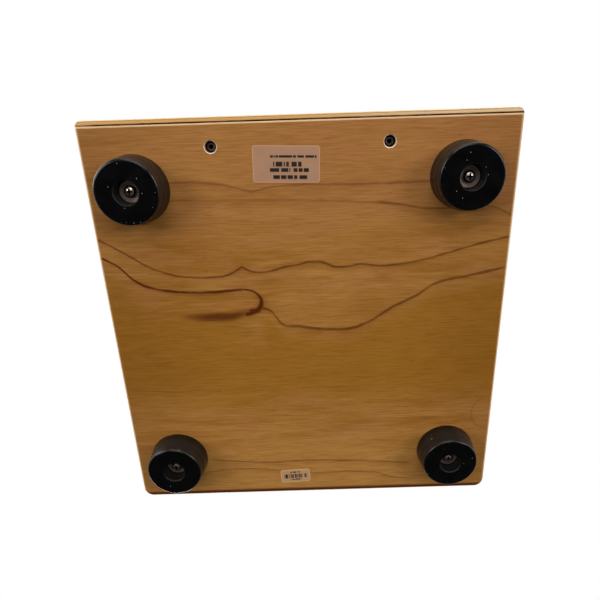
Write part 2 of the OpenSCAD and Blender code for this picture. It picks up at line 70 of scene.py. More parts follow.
class Nodes:
    """Builds one material's node tree, with short names for the nodes used here."""

    def __init__(self, name):
        self.material = bpy.data.materials.new(name)
        self.material.use_nodes = True
        self.tree = self.material.node_tree
        self.tree.nodes.clear()
        self.output = self.add("ShaderNodeOutputMaterial")
        self.coordinates = self.add("ShaderNodeTexCoord")
        self.place = self.scale(self.coordinates.outputs["Object"], 1000)  # millimetres
        axes = self.add("ShaderNodeSeparateXYZ", Vector=self.place)
        self.x, self.y, self.z = axes.outputs
        self.normal = self.coordinates.outputs["Normal"]

    def add(self, kind, settings=None, **inputs):
        node = self.tree.nodes.new(kind)
        for key, value in (settings or {}).items():
            setattr(node, key, value)
        for key, value in inputs.items():
            self.feed(node.inputs[key.replace("_", " ")], value)
        return node

    def feed(self, socket, value):
        if isinstance(value, bpy.types.NodeSocket):
            self.tree.links.new(value, socket)
        elif value is not None:
            socket.default_value = value

    def math(self, operation, *values, clamp=False):
        node = self.add("ShaderNodeMath", {"operation": operation, "use_clamp": clamp})
        for socket, value in zip(node.inputs, values):
            self.feed(socket, value)
        return node.outputs[0]

    def scale(self, vector, factors):
        """A vector times a number, or times three numbers."""
        factors = factors if isinstance(factors, tuple) else (factors,) * 3
        node = self.add("ShaderNodeVectorMath", {"operation": "MULTIPLY"})
        self.feed(node.inputs[0], vector)
        node.inputs[1].default_value = factors
        return node.outputs[0]

    def vector(self, x=0.0, y=0.0, z=0.0):
        return self.add("ShaderNodeCombineXYZ", X=x, Y=y, Z=z).outputs[0]

    def noise(self, vector, scale=1.0, detail=3.0, roughness=0.5, distortion=0.0):
        node = self.add("ShaderNodeTexNoise", Vector=vector, Scale=scale, Detail=detail,
                        Roughness=roughness, Distortion=distortion)
        return node.outputs[0]

    def fade(self, value, low, high, to_low=0.0, to_high=1.0):
        """Smooth step from to_low at low to to_high at high."""
        node = self.add("ShaderNodeMapRange", {"interpolation_type": "SMOOTHSTEP", "clamp": True})
        for socket, number in zip(node.inputs, (value, low, high, to_low, to_high)):
            self.feed(socket, number)
        return node.outputs[0]

    def band(self, value, middle, half_width, soft, inside=1.0):
        """inside within half_width of middle, changing over soft to 0, or to 1 if inside is below 1."""
        distance = self.math("ABSOLUTE", self.math("SUBTRACT", value, middle))
        return self.fade(distance, half_width, half_width + soft, inside, 0.0 if inside == 1.0 else 1.0)

    def mix(self, factor, a, b, blend="MIX"):
        node = self.add("ShaderNodeMix", {"data_type": "RGBA", "blend_type": blend})
        for name, value in (("Factor", factor), ("A", a), ("B", b)):
            sockets = [s for s in node.inputs if s.name == name and s.enabled]
            if isinstance(value, tuple):
                value = (*value, 1.0) if len(value) == 3 else value
            self.feed(sockets[0], value)
        return [s for s in node.outputs if s.enabled][0]

    def tinted(self, color, tone):
        """A colour times a tone."""
        return self.mix(1.0, color, tone, "MULTIPLY")

    def times(self, *values):
        total = values[0]
        for value in values[1:]:
            total = self.math("MULTIPLY", total, value)
        return total

    def most(self, *values):
        total = values[0]
        for value in values[1:]:
            total = self.math("MAXIMUM", total, value)
        return total

    def bump(self, height, strength, distance_mm, normal=None):
        return self.add("ShaderNodeBump", Height=height, Strength=strength,
                        Distance=mm(distance_mm), Normal=normal).outputs[0]

    def shader(self, color, roughness, normal=None, **inputs):
        node = self.add("ShaderNodeBsdfPrincipled", Base_Color=color, Roughness=roughness,
                        Normal=normal, **inputs)
        self.feed(self.output.inputs["Surface"], node.outputs[0])
        return self.material


# ---- wood ----

HONEY = (0.495, 0.232, 0.050)
AMBER = (0.41, 0.178, 0.030)
STRAW = (0.60, 0.300, 0.080)
BLUSH = (0.53, 0.240, 0.078)
HEART = (0.41, 0.182, 0.020)
RING = (0.095, 0.013, 0.0005)
# pale sanded wood, also used as a painted highlight on the roundovers; the plies' skin tone is made from it
SANDED_EDGE_AND_HIGHLIGHT = (0.86, 0.55, 0.26)
PLY_PALE = (0.72, 0.45, 0.17)
PLY_DARK = (0.46, 0.23, 0.07)
PLATE_PALE = (0.95, 0.68, 0.33)
PLATE_DARK = (0.90, 0.52, 0.17)
GLUE = (0.13, 0.055, 0.018)
SKIN_TONE = tuple(min(0.95, c * 1.1) for c in SANDED_EDGE_AND_HIGHLIGHT)
FIBRE_TONE = (0.66, 0.56, 0.42)
THREAD_TONE = (0.72, 0.62, 0.48)
PALER_PLATE_EDGE = (1.0, 0.78, 0.50)
JOINT_EDGE_SANDED_AND_LIT = (0.95, 0.66, 0.38)
# dirt and painted shade in the groove between the front plate and the case
JOINT_DIRT_AND_SHADE = (0.10, 0.022, 0.001)
# bare wood on the counterbores' chamfers, as bright as a painted highlight
BARE_WOOD_AND_HIGHLIGHT = (1.0, 0.90, 0.74)  # on the counterbores' chamfers
SKIN = 0.8  # thickness of the outer veneers


def grain_space(n, along, through):
    """The place as distances along the grain, across it in the panel's face, and through the panel."""
    across = ({"x", "y", "z"} - {along, through}).pop()
    axes = {"x": n.x, "y": n.y, "z": n.z}
    return axes[along], axes[across], axes[through]


def stretched(n, grain, length, width, detail, shift=0.0, roughness=0.55):
    """Noise drawn out along the grain. grain is the place in grain_space()."""
    u, v, w = grain
    place = n.vector(n.math("DIVIDE", u, length), n.math("DIVIDE", v, width),
                     n.math("ADD", n.math("DIVIDE", w, width * 6), shift))
    return n.noise(place, 1.0, detail, roughness, 0.15)


def veneer(n, grain, rings, heart, pale=0.0, blush=0.0, amber=0.0):
    """Colour and height of lacquered maple: streaks, mottle, thin fibres, dark flecks and growth rings."""
    fibres = stretched(n, grain, 17, 1.0, 2.0, 17.0)
    threads = stretched(n, grain, 34, 2.3, 2.0, 29.0)
    flecks = n.fade(stretched(n, grain, 10, 0.9, 1.0, 41.0), 0.65, 0.76)
    color = n.mix(n.fade(stretched(n, grain, 120, 22, 2.0), 0.40, 0.60), AMBER, HONEY)
    color = n.mix(n.fade(stretched(n, grain, 70, 7, 3.0, 5.0), 0.42, 0.68, 0.0, 0.7), color, STRAW)
    color = n.mix(n.fade(stretched(n, grain, 34, 17, 3.0, 11.0), 0.45, 0.66, 0.0, 0.5), color, BLUSH)
    for share, tone in ((pale, STRAW), (blush, BLUSH), (amber, AMBER), (heart, HEART)):
        color = n.mix(share, color, tone)
    color = n.mix(n.fade(fibres, 0.38, 0.66, 0.0, 0.46), color, n.tinted(color, FIBRE_TONE))
    color = n.mix(n.fade(threads, 0.50, 0.72, 0.0, 0.26), color, n.tinted(color, THREAD_TONE))
    color = n.mix(n.times(flecks, 0.26), color, RING)
    color = n.mix(rings, color, RING)
    height = n.math("SUBTRACT", n.times(fibres, 0.6), n.times(flecks, 0.35))
    return color, height


def ply_edge(n, depth, thickness, cores, pale, dark):
    """Edge of plywood: thin outer veneers, a few core layers with turned grain, and dark glue lines."""
    pitch = (thickness - 2 * SKIN) / cores
    wander = n.noise(n.scale(n.place, 0.03), 1.0, 2.0)
    shift = n.math("SUBTRACT", n.times(wander, 0.3), 0.15 + SKIN)
    steps = n.math("DIVIDE", n.math("ADD", depth, shift), pitch)
    turned = n.math("GREATER_THAN", n.math("FRACT", n.math("DIVIDE", steps, 2.0)), 0.5)
    grain = n.noise(n.scale(n.place, (0.35, 0.35, 0.9)), 1.0, 4.0, 0.7)
    pores = n.noise(n.scale(n.place, 1.9), 1.0, 2.0, 0.6)
    color = n.mix(turned, dark, pale)
    color = n.mix(n.fade(grain, 0.35, 0.7, 0.0, 0.4), color, dark)
    color = n.mix(n.fade(pores, 0.6, 0.75, 0.0, 0.5), color, GLUE)
    skin = n.most(n.fade(depth, SKIN - 0.1, SKIN, 1.0, 0.0),
                  n.fade(depth, thickness - SKIN, thickness - SKIN + 0.1))
    color = n.mix(n.times(skin, 0.75), color, SKIN_TONE)
    nearest = n.math("ABSOLUTE", n.math("SUBTRACT", n.math("FRACT", n.math("ADD", steps, 0.5)), 0.5))
    glue = n.fade(n.times(nearest, pitch), 0.08, 0.24, 0.7, 0.0)
    return n.mix(glue, color, GLUE)


def facing(n, axis):
    """How much the surface faces along an axis: 1 on the panel's faces, 0 on its edges."""
    parts = n.add("ShaderNodeSeparateXYZ", Vector=n.normal).outputs
    return n.math("ABSOLUTE", parts["xyz".index(axis)])


def joint_line(n, middle, half_width, soft):
    """Line along the front joint, its middle so far behind the joint, with an uneven strength."""
    uneven = n.noise(n.scale(n.place, 0.12), 1.0, 3.0)
    line = n.band(n.math("SUBTRACT", n.y, JOINT_Y), middle, half_width, soft)
    return n.times(line, n.fade(uneven, 0.25, 0.55, 0.75, 1.0))


def joint_marks(n, color):
    """The front joint's pale line, sanded wood with a painted highlight, and its dark line, dirt with painted
    shade in the groove between plate and case. Returns the new colour and the dark line's mask.
    """
    # pale line on the case's front easing: sanded wood and a painted highlight
    color = n.mix(n.times(joint_line(n, 0.72, 0.45, 0.35), 0.9), color, JOINT_EDGE_SANDED_AND_LIT)
    less_at_left = n.fade(n.x, -146.0, -134.0, 0.35, 1.0)
    # dark joint line: dirt and painted shade in the groove, weaker at the left end
    dirt = n.times(joint_line(n, -0.2, 0.40, 0.15), less_at_left)
    return n.mix(dirt, color, JOINT_DIRT_AND_SHADE), dirt


def layer_tones(n, cores):
    """Pale and dark layers of a panel's edge. The front plate, with one core, has its own orange pair."""
    if cores > 1:
        return PLY_PALE, PLY_DARK
    # the front plate's edge gets paler towards the right
    paler_to_right = n.fade(n.x, -30.0, 130.0, 0.0, 0.75)
    return tuple(n.mix(paler_to_right, tone, PALER_PLATE_EDGE) for tone in (PLATE_PALE, PLATE_DARK))


def wood(name, node, along, through, figure, cores=5, gloss=0.40, edge_low=0.65):
    """Veneered plywood panel: grain along one axis, layers through another, growth rings from figure(n)."""
    n = Nodes(name)
    low, high = box_mm(node)
    axis = "xyz".index(through)
    grain = grain_space(n, along, through)
    color, height = veneer(n, grain, *figure(n, grain))
    depth = n.math("SUBTRACT", (n.x, n.y, n.z)[axis], low[axis])
    flat = facing(n, through)
    edge = n.fade(flat, edge_low, edge_low + 0.25, 1.0, 0.0)
    # worn: the band where a roundover turns, sanded wood brightened as a painted highlight
    worn = n.times(n.fade(flat, edge_low + 0.2, 0.985, 0.8, 0.0), n.fade(flat, edge_low - 0.4, edge_low))
    layers = ply_edge(n, depth, high[axis] - low[axis], cores, *layer_tones(n, cores))
    color = n.mix(edge, color, layers)
    color = n.mix(worn, color, SANDED_EDGE_AND_HIGHLIGHT)
    if node == "bottom_panel":
        # the counterbores' chamfers: bare wood with a painted highlight
        mouth = n.fade(from_middle(n, BOLTS), 4.9, 5.3, 1.0, 0.0)
        color = n.mix(n.times(worn, mouth), color, BARE_WOOD_AND_HIGHLIGHT)
    # the dark joint line is dirt and painted shade, and makes the lacquer rough there
    color, dirt = joint_marks(n, color)
    wear = n.noise(n.scale(n.place, 0.03), 1.0, 5.0, 0.6)
    roughness = n.math("ADD", n.fade(wear, 0.3, 0.7, gloss - 0.06, gloss + 0.10), n.times(edge, 0.15))
    return n.shader(color, n.most(roughness, dirt), n.bump(height, 0.25, 0.06), Specular_IOR_Level=0.2,
                    Coat_Weight=0.03, Coat_Roughness=0.28)


def contour_rings(spacing, seed, strength=0.5):
    """Growth rings as the contour lines of a slowly changing field, as on any slice of a log."""
    def figure(n, grain):
        u, v, w = grain

        def field_noise(length, width, shift, detail=2.0):
            place = n.vector(n.math("DIVIDE", u, length), n.math("DIVIDE", v, width), seed + shift)
            return n.noise(place, 1.0, detail)

        bend = n.math("ADD", n.times(field_noise(330, 85, 0.0), 3.2), n.times(field_noise(60, 30, 5.0), 0.12))
        phase = n.math("FRACT", n.math("ADD", n.math("DIVIDE", v, spacing), bend))
        line = n.times(n.fade(phase, 0.93, 0.985), n.fade(phase, 0.985, 1.0, 1.0, 0.0))
        shade = n.times(n.fade(phase, 0.5, 0.98), 0.12)
        worn = n.fade(field_noise(140, 40, 9.0), 0.3, 0.65, strength * 0.25, strength)
        heart = n.fade(field_noise(420, 70, 13.0), 0.5, 0.75, 0.0, 0.5)
        return n.most(n.times(line, worn), shade), heart
    return figure


# Growth rings on the bottom: x from the middle, y back from the front joint, in millimetres.
# Each entry is the ring's line, its darkness and its width. A third value of 1 makes a sharp point.
BOTTOM_RINGS = {
    "first": ([(-105, 39), (-68, 39), (-49, 42), (-35, 46, 1), (-19, 43), (45, 43), (100, 42)], 0.46, 1.1),
    "second": ([(-150, 61), (-95, 51), (-63, 51), (23, 54), (66, 57.5)], 0.33, 1.1),
    "second_right": ([(46, 55.5), (64, 57), (83, 60.5), (94, 61.4), (130, 60.5), (150, 69)], 0.62, 1.2),
    "third": ([(-150, 75), (-132, 86), (-111, 99.5), (-95, 105), (-71, 107), (-57, 105.5), (-46.5, 99.8, 1),
               (-38, 104), (-10, 100), (10, 97.5), (24, 102), (42, 100.5), (56, 102), (82, 99.5), (104, 94),
               (130, 87), (150, 83)], 0.76, 1.2),
    "hook": ([(-150, 89), (-138, 96), (-125, 109), (-116, 113.5), (-100, 117), (-72, 118.5), (-46, 117)],
             0.95, 1.5),
    "tail": ([(-42, 135.5), (-35, 133), (-28, 134.5), (-22, 142.5), (-18, 147), (-6, 148.5), (13, 151.3),
              (32, 151.5), (45, 147.5), (65, 135), (83, 126), (97, 117), (120, 112), (150, 105.5)],
             0.74, 1.6),
    "crack": ([(-150, 200), (-100, 204)], 0.5, 0.6),
    "fifth": ([(-90, 270), (-33, 275), (-11, 274), (89, 280)], 0.5, 1.0),
    "sixth": ([(-100, 286), (-70, 281), (-44, 282), (-11, 287), (55, 289), (69, 294), (96, 297)], 0.42, 1.0),
}
RING_SPAN = 300.0  # the curves cover this much of x and y


def ring_curve(n, points):
    """Height of a ring's line at the surface's x, from a curve through its points."""
    node = n.add("ShaderNodeFloatCurve")
    curve = node.mapping.curves[0]
    node.mapping.use_clip = False
    spots = [((p[0] + RING_SPAN / 2) / RING_SPAN, p[1] / RING_SPAN, len(p) == 3) for p in points]
    while len(curve.points) < len(spots):
        curve.points.new(0.5, 0.5)
    for point, (a, b, _) in zip(curve.points, spots):
        point.location = (a, b)
    node.mapping.update()
    for a, b, sharp in spots:
        nearest = min(curve.points, key=lambda p: (p.location.x - a) ** 2 + (p.location.y - b) ** 2)
        nearest.handle_type = "VECTOR" if sharp else "AUTO"
    node.mapping.update()
    n.feed(node.inputs["Value"], n.math("DIVIDE", n.math("ADD", n.x, RING_SPAN / 2), RING_SPAN))
    return n.times(node.outputs[0], RING_SPAN)


def ring_ends(n, points, darkness):
    """Fades a ring out where it ends inside the panel, over a shorter way on a dark one."""
    first, last = points[0][0], points[-1][0]
    reach = 3 if darkness > 0.8 else 11
    ends = []
    if first > -150:
        ends.append(n.fade(n.x, first - 1, first - 1 + reach))
    if last < 150:
        ends.append(n.fade(n.x, last + 1 - reach, last + 1, 1.0, 0.0))
    return ends


def ring_line(n, back, points, darkness, width):
    """Darkness of one ring, a thin line with a soft shade beside it, and how far behind it the surface is."""
    wobble = n.noise(n.vector(n.math("DIVIDE", n.x, 9), n.math("DIVIDE", n.y, 9)), 1.0, 3.0, 0.6)
    line_y = n.math("ADD", ring_curve(n, points), n.math("SUBTRACT", n.times(wobble, 1.4), 0.7))
    gap = n.math("SUBTRACT", back, line_y)
    distance = n.math("ABSOLUTE", gap)
    thick = n.noise(n.vector(n.math("DIVIDE", n.x, 24), n.math("DIVIDE", n.y, 12)), 1.0, 2.0)
    reach = n.fade(thick, 0.3, 0.7, width * 0.85, width * 1.25)
    core = n.fade(distance, width * 0.35, reach, darkness, 0.0)
    shade = n.fade(gap, 0.0, 6.0, darkness * 0.30, 0.0)
    shade = n.times(shade, n.fade(gap, -0.6, 0.3))
    before = n.fade(distance, 0.0, 2.6, darkness * 0.22, 0.0)
    faded = n.fade(thick, 0.3, 0.6, 0.72, 1.0)
    return n.times(n.most(core, shade, before), faded, *ring_ends(n, points, darkness)), gap


def squared(n, value, middle, size):
    """Square of a distance from the middle, counted in sizes."""
    share = n.math("DIVIDE", n.math("SUBTRACT", value, middle), size)
    return n.times(share, share)


def hook_smear(n, back):
    """The long soft smear that the hook runs into."""
    ragged = n.noise(n.vector(n.math("DIVIDE", n.x, 16), n.math("DIVIDE", n.y, 1.6)), 1.0, 3.0, 0.6)
    slope = n.fade(n.x, -60.0, -36.0, 0.0, 4.0)
    middle = n.math("SUBTRACT", n.math("ADD", 137.2, n.times(ragged, 2.8)), slope)
    spread = n.math("SQRT", n.math("ADD", squared(n, n.x, -66.0, 31.0), squared(n, back, middle, 4.2)))
    return n.fade(spread, 0.25, 1.35, 0.84, 0.0)


def hook_figure(n, back):
    """The hook's round nose, the wedge under it and the smear."""
    dx, dy = n.math("ADD", n.x, 46.5), n.math("SUBTRACT", back, 127.2)
    wide = n.math("DIVIDE", dx, 1.28)
    radius = n.math("SQRT", n.math("ADD", n.times(wide, wide), n.times(dy, dy)))
    right = n.fade(dx, -1.5, 0.5)
    thick = n.fade(dy, -8.0, 7.0, 1.0, 2.3)
    away = n.math("ABSOLUTE", n.math("SUBTRACT", radius, 9.9))
    nose = n.times(n.fade(away, n.times(thick, 0.35), n.times(thick, 1.1), 0.95, 0.0), right)
    below = n.fade(dy, -9.0, 9.0, 0.35, 1.0)
    glow = n.times(n.fade(away, 0.0, 5.0, 0.42, 0.0), n.fade(dx, -6.0, 3.0), below)
    join = n.math("SQRT", n.math("ADD", squared(n, n.x, -39.5, 6.0), squared(n, back, 134.6, 2.6)))
    return n.most(nose, glow, n.fade(join, 0.5, 1.2, 0.9, 0.0), hook_smear(n, back))


def edge_loop(n, back):
    """Small open ring that runs off the right edge."""
    ring = n.math("SQRT", n.math("ADD", squared(n, n.x, 150.0, 17.0), squared(n, back, 231.0, 16.0)))
    return n.times(n.band(ring, 1.0, 0.025, 0.06), 0.35)


def spots(n, back, places):
    """Soft oval spots: x, distance behind the joint, half length, half width and strength of each."""
    ovals = []
    for x, y, long, wide, strength in places:
        away = n.math("SQRT", n.math("ADD", squared(n, n.x, x, long), squared(n, back, y, wide)))
        ovals.append(n.fade(away, 0.1, 1.1, strength, 0.0))
    return n.most(*ovals)


PALE_SPOTS = ((-68, 110, 24, 9, 0.6), (-14, 128, 18, 11, 0.6), (90, 118, 26, 12, 0.4))
AMBER_SPOTS = ((50, 136, 30, 19, 0.85), (57, 84, 36, 14, 0.5), (-93, 168, 28, 9, 0.4))


def heartwood(n, back, place, rings):
    """The darker wood behind the hook and its tail. place is back with a wandering edge."""
    behind_hook = n.times(n.fade(rings["hook"][1], 0.0, 34.0), n.fade(n.x, -60.0, -34.0, 1.0, 0.0))
    behind_tail = n.times(n.fade(rings["tail"][1], -1.0, 16.0), n.fade(n.x, -44.0, -28.0))
    start = n.most(behind_hook, behind_tail, n.fade(back, 148.0, 172.0))
    return n.times(start, n.fade(place, 186.0, 236.0, 1.0, 0.0), 0.84)


def bottom_figure(n, grain):
    """Lines, with painted shade along the rear edge and towards the sides, heartwood, and the pale, pink and
    amber shares of the bottom's veneer.
    """
    back = n.math("SUBTRACT", n.y, JOINT_Y)
    rings = {name: ring_line(n, back, *ring) for name, ring in BOTTOM_RINGS.items()}
    lines = n.most(*[line for line, _ in rings.values()], hook_figure(n, back), edge_loop(n, back))
    wander = n.noise(n.vector(n.math("DIVIDE", n.x, 110), n.math("DIVIDE", n.y, 34)), 1.0, 3.0)
    place = n.math("ADD", back, n.times(n.math("SUBTRACT", wander, 0.5), 50.0))
    heart = heartwood(n, back, place, rings)
    # painted shade: a dark line on the rear edge's roundover
    painted_rear_shade = n.fade(back, 301.5, 304.5, 0.0, 0.95)
    # painted shade, darker towards the left and right edges
    painted_side_shade = n.fade(n.math("ABSOLUTE", n.x), 55.0, 150.0, 0.0, 0.20)
    blush = n.times(n.fade(place, 45.0, 95.0, 0.75, 0.0), n.fade(n.x, -150.0, 60.0, 0.5, 1.0))
    # the pale share: pale spots, and a paler stretch at the back that is partly lighter wood and partly
    # painted light
    pale = n.most(n.fade(place, 226.0, 280.0, 0.0, 0.75), spots(n, back, PALE_SPOTS))
    return n.most(lines, painted_rear_shade, painted_side_shade), heart, pale, blush, spots(n, back, AMBER_SPOTS)


# ---- rubber, metal, felt and paper ----


def from_middle(n, names):
    """Level distance from the nearest of these nodes' upright axes."""
    nearest = None
    for name in names:
        low, high = box_mm(name)
        dx, dy = n.math("SUBTRACT", n.x, (low.x + high.x) / 2), n.math("SUBTRACT", n.y, (low.y + high.y) / 2)
        away = n.math("SQRT", n.math("ADD", n.times(dx, dx), n.times(dy, dy)))
        nearest = away if nearest is None else n.math("MINIMUM", nearest, away)
    return nearest


GROOVE_Z = 7.4  # height of the fine groove round each foot
RUBBER_SIDE = (0.0125, 0.0105, 0.0092)
# painted shade inside the feet's screw recesses
RECESS_PAINTED_SHADE = (0.0012, 0.001, 0.001)
DUST = (0.42, 0.40, 0.37)


def dust_specks(n, side):
    """Round specks of dust, one set for the feet's sides and a finer one for their flat ends."""
    level = n.times(n.z, side)
    around = n.add("ShaderNodeTexVoronoi", Vector=n.vector(n.x, n.y, level), Scale=0.17)
    chosen = n.add("ShaderNodeSeparateXYZ", Vector=around.outputs["Color"]).outputs[0]
    on_side = n.math("LESS_THAN", around.outputs["Distance"], n.fade(chosen, 0.5, 1.0, 0.0, 0.10))
    under = n.add("ShaderNodeTexVoronoi", {"voronoi_dimensions": "2D"}, Vector=n.place, Scale=0.21)
    chance = n.add("ShaderNodeSeparateXYZ", Vector=under.outputs["Color"]).outputs[1]
    on_end = n.math("LESS_THAN", under.outputs["Distance"], n.fade(chance, 0.74, 1.0, 0.0, 0.065))
    return n.most(n.times(on_side, side), n.times(on_end, n.math("SUBTRACT", 1.0, side)))


def rubber_color(n, grit, cloud, side, groove, recess):
    """Near-black end, a side that gets greyer away from the case's panel because painted shade darkens it
    near the panel and in the groove, dust on both, and painted shade in the screw recess.
    """
    color = n.mix(n.fade(cloud, 0.35, 0.7), (0.0008, 0.0007, 0.0007), (0.0022, 0.002, 0.002))
    color = n.mix(n.fade(grit, 0.62, 0.8, 0.0, 0.4), color, (0.005, 0.0045, 0.004))
    # the grey side colour gives way to painted shade near the panel and in the groove
    side_grey_with_painted_shade = n.times(side, n.fade(n.z, 10.0, BOTTOM_Z - 0.8, 1.0, 0.12), groove)
    color = n.mix(side_grey_with_painted_shade, color, RUBBER_SIDE)
    color = n.mix(n.times(dust_specks(n, side), 0.75), color, DUST)
    return n.mix(recess, color, RECESS_PAINTED_SHADE)


def rubber(name):
    """Moulded black rubber: fine texture, faint moulding rings round the side, and specks of dust."""
    n = Nodes(name)
    grit = n.noise(n.place, 2.2, 5.0, 0.65)
    cloud = n.noise(n.place, 0.09, 3.0, 0.6)
    side = n.fade(facing(n, "z"), 0.5, 0.95, 1.0, 0.0)
    # groove is 0.15 in the groove: painted shade there, and a matt finish
    groove = n.band(n.z, GROOVE_Z, 0.45, 0.25, 0.15)
    # the screw recess: painted shade, and rougher so it reflects less
    recess = n.fade(from_middle(n, FEET), 8.6, 9.2, 1.0, 0.0)
    rings = n.math("SINE", n.times(n.z, 1.3))
    height = n.math("ADD", n.times(grit, 0.4), n.times(rings, n.times(side, 0.7)))
    roughness = n.math("ADD", n.fade(cloud, 0.3, 0.7, 0.20, 0.26), n.times(side, 0.08))
    matt_groove = n.math("SUBTRACT", 0.9, n.times(groove, 0.9))
    roughness = n.most(roughness, n.times(recess, 0.62), matt_groove)
    color = rubber_color(n, grit, cloud, side, groove, recess)
    return n.shader(color, roughness, n.bump(height, 0.2, 0.08), Specular_IOR_Level=0.35)


def metal(name, color, roughness, scratch=0.25, dirt=0.35, axis_scale=(0.4, 0.4, 6.0)):
    """Plain steel or brass: brushed scratches, uneven gloss and dirt."""
    n = Nodes(name)
    lines = n.noise(n.scale(n.place, axis_scale), 1.0, 4.0, 0.6)
    cloud = n.noise(n.place, 0.35, 4.0, 0.6)
    dark = tuple(c * 0.35 for c in color)
    mixed = n.mix(n.fade(cloud, 0.45, 0.75, 0.0, dirt), color, dark)
    mixed = n.mix(n.fade(lines, 0.4, 0.7, 0.0, scratch), mixed, tuple(c * 0.7 for c in color))
    gloss = n.fade(cloud, 0.3, 0.75, roughness - 0.06, roughness + 0.14)
    return n.shader(mixed, gloss, n.bump(lines, 0.15, 0.05), Metallic=1.0)


# Heights between which painted shade darkens a foot screw's cross recess, a little above the head's face
SCREW_SINK = tuple(box_mm("foot_screws")[0].z + depth for depth in (0.9, 1.1))


def foot_screw_steel(name):
    """Bright screw heads, with a painted dark reflection round their edge and painted shade in the cross
    recess.
    """
    n = Nodes(name)
    cloud = n.noise(n.place, 0.8, 4.0, 0.6)
    away = from_middle(n, FEET)
    walls = n.fade(facing(n, "z"), 0.35, 0.8, 1.0, 0.0)
    sunk = n.fade(n.z, *SCREW_SINK, 0.0, 1.0)
    # dirt here is painted: a dark reflection round the head's edge, and shade on the cross recess's walls and
    # deep in it
    dirt = n.most(n.fade(away, 2.7, 3.2), walls, sunk)
    color = n.mix(n.fade(cloud, 0.4, 0.7, 0.0, 0.5), (0.95, 0.84, 0.76), (0.36, 0.24, 0.19))
    color = n.mix(dirt, color, (0.02, 0.008, 0.004))
    gloss = n.most(n.fade(cloud, 0.3, 0.7, 0.26, 0.38), n.times(dirt, 0.6))
    return n.shader(color, gloss, n.bump(cloud, 0.15, 0.05), Metallic=1.0)


def bolt_steel(name):
    """Blackened bolt heads, rubbed bright round the socket, darker at the rim, and with painted shade in the
    socket.
    """
    n = Nodes(name)
    cloud = n.noise(n.place, 0.9, 4.0, 0.6)
    away = from_middle(n, BOLTS)
    # dirt here darkens the rim, and paints shade in the socket
    dirt = n.most(n.fade(away, 2.3, 3.0), n.fade(away, 1.5, 1.75, 1.0, 0.0))
    color = n.mix(n.fade(cloud, 0.35, 0.7), (0.46, 0.34, 0.28), (0.20, 0.13, 0.10))
    color = n.mix(dirt, color, (0.012, 0.006, 0.004))
    gloss = n.most(n.fade(cloud, 0.3, 0.7, 0.34, 0.46), n.times(dirt, 0.6))
    return n.shader(color, gloss, n.bump(cloud, 0.15, 0.05), Metallic=1.0)


def felt(name):
    """Dark grey felt with a rough nap."""
    n = Nodes(name)
    fuzz = n.noise(n.place, 1.4, 6.0, 0.75, 1.2)
    color = n.mix(n.fade(fuzz, 0.3, 0.7), (0.018, 0.018, 0.02), (0.06, 0.06, 0.065))
    return n.shader(color, 0.95, n.bump(fuzz, 0.8, 0.4), Sheen_Weight=0.3)


def wire(name):
    """Wound bronze string: fine windings along its length."""
    n = Nodes(name)
    turns = n.math("SINE", n.times(n.z, 14.0))
    cloud = n.noise(n.place, 0.1, 3.0)
    color = n.mix(n.fade(turns, -0.6, 0.6), (0.30, 0.19, 0.08), (0.72, 0.50, 0.24))
    return n.shader(color, n.fade(cloud, 0.3, 0.7, 0.28, 0.42), n.bump(turns, 0.5, 0.1), Metallic=1.0)


def label_frame(n, node, turn):
    """Place on a label, in millimetres from its middle, along its own length and height."""
    low, high = box_mm(node)
    middle = (low + high) / 2
    dx, dy = n.math("SUBTRACT", n.x, middle.x), n.math("SUBTRACT", n.y, middle.y)
    c, s = math.cos(turn), math.sin(turn)
    return (n.math("ADD", n.times(dx, c), n.times(dy, s)), n.math("SUBTRACT", n.times(dy, c), n.times(dx, s)))


def printed_row(n, u, v, left, right, low, high, pitch, fill, seed):
    """A row of plain upright bars: ink where a cell's own random number is under fill."""
    cell = n.math("FLOOR", n.math("DIVIDE", u, pitch))
    chance = n.add("ShaderNodeTexWhiteNoise", {"noise_dimensions": "2D"},
                   Vector=n.vector(cell, float(seed))).outputs["Value"]
    ink = n.math("LESS_THAN", chance, fill)
    wide, tall = (right - left) / 2, (high - low) / 2
    inside = n.times(n.band(u, (left + right) / 2, wide, 0.12), n.band(v, (low + high) / 2, tall, 0.12))
    return n.times(ink, inside)


def label(name, node, turn, paper, rows, rim):
    """Printed paper label with generic bars and a paler worn rim."""
    n = Nodes(name)
    u, v = label_frame(n, node, turn)
    fibres = n.noise(n.place, 1.1, 5.0, 0.7)
    cloud = n.noise(n.place, 0.06, 2.0)
    color = n.mix(n.fade(cloud, 0.35, 0.65), paper, tuple(c * 0.93 for c in paper))
    color = n.mix(n.fade(fibres, 0.3, 0.7, 0.0, 0.12), color, tuple(c * 0.7 for c in paper))
    half_u, half_v = rim
    edge = n.most(n.fade(n.math("ABSOLUTE", u), half_u - 0.9, half_u - 0.2),
                  n.fade(n.math("ABSOLUTE", v), half_v - 0.9, half_v - 0.2))
    color = n.mix(n.times(edge, 0.55), color, tuple(min(1.0, c * 1.5) for c in paper))
    ink = n.most(*[printed_row(n, u, v, *row) for row in rows])
    color = n.mix(n.times(ink, 0.98), color, (0.004, 0.003, 0.003))
    return n.shader(color, n.fade(cloud, 0.3, 0.7, 0.42, 0.55), n.bump(fibres, 0.1, 0.05))


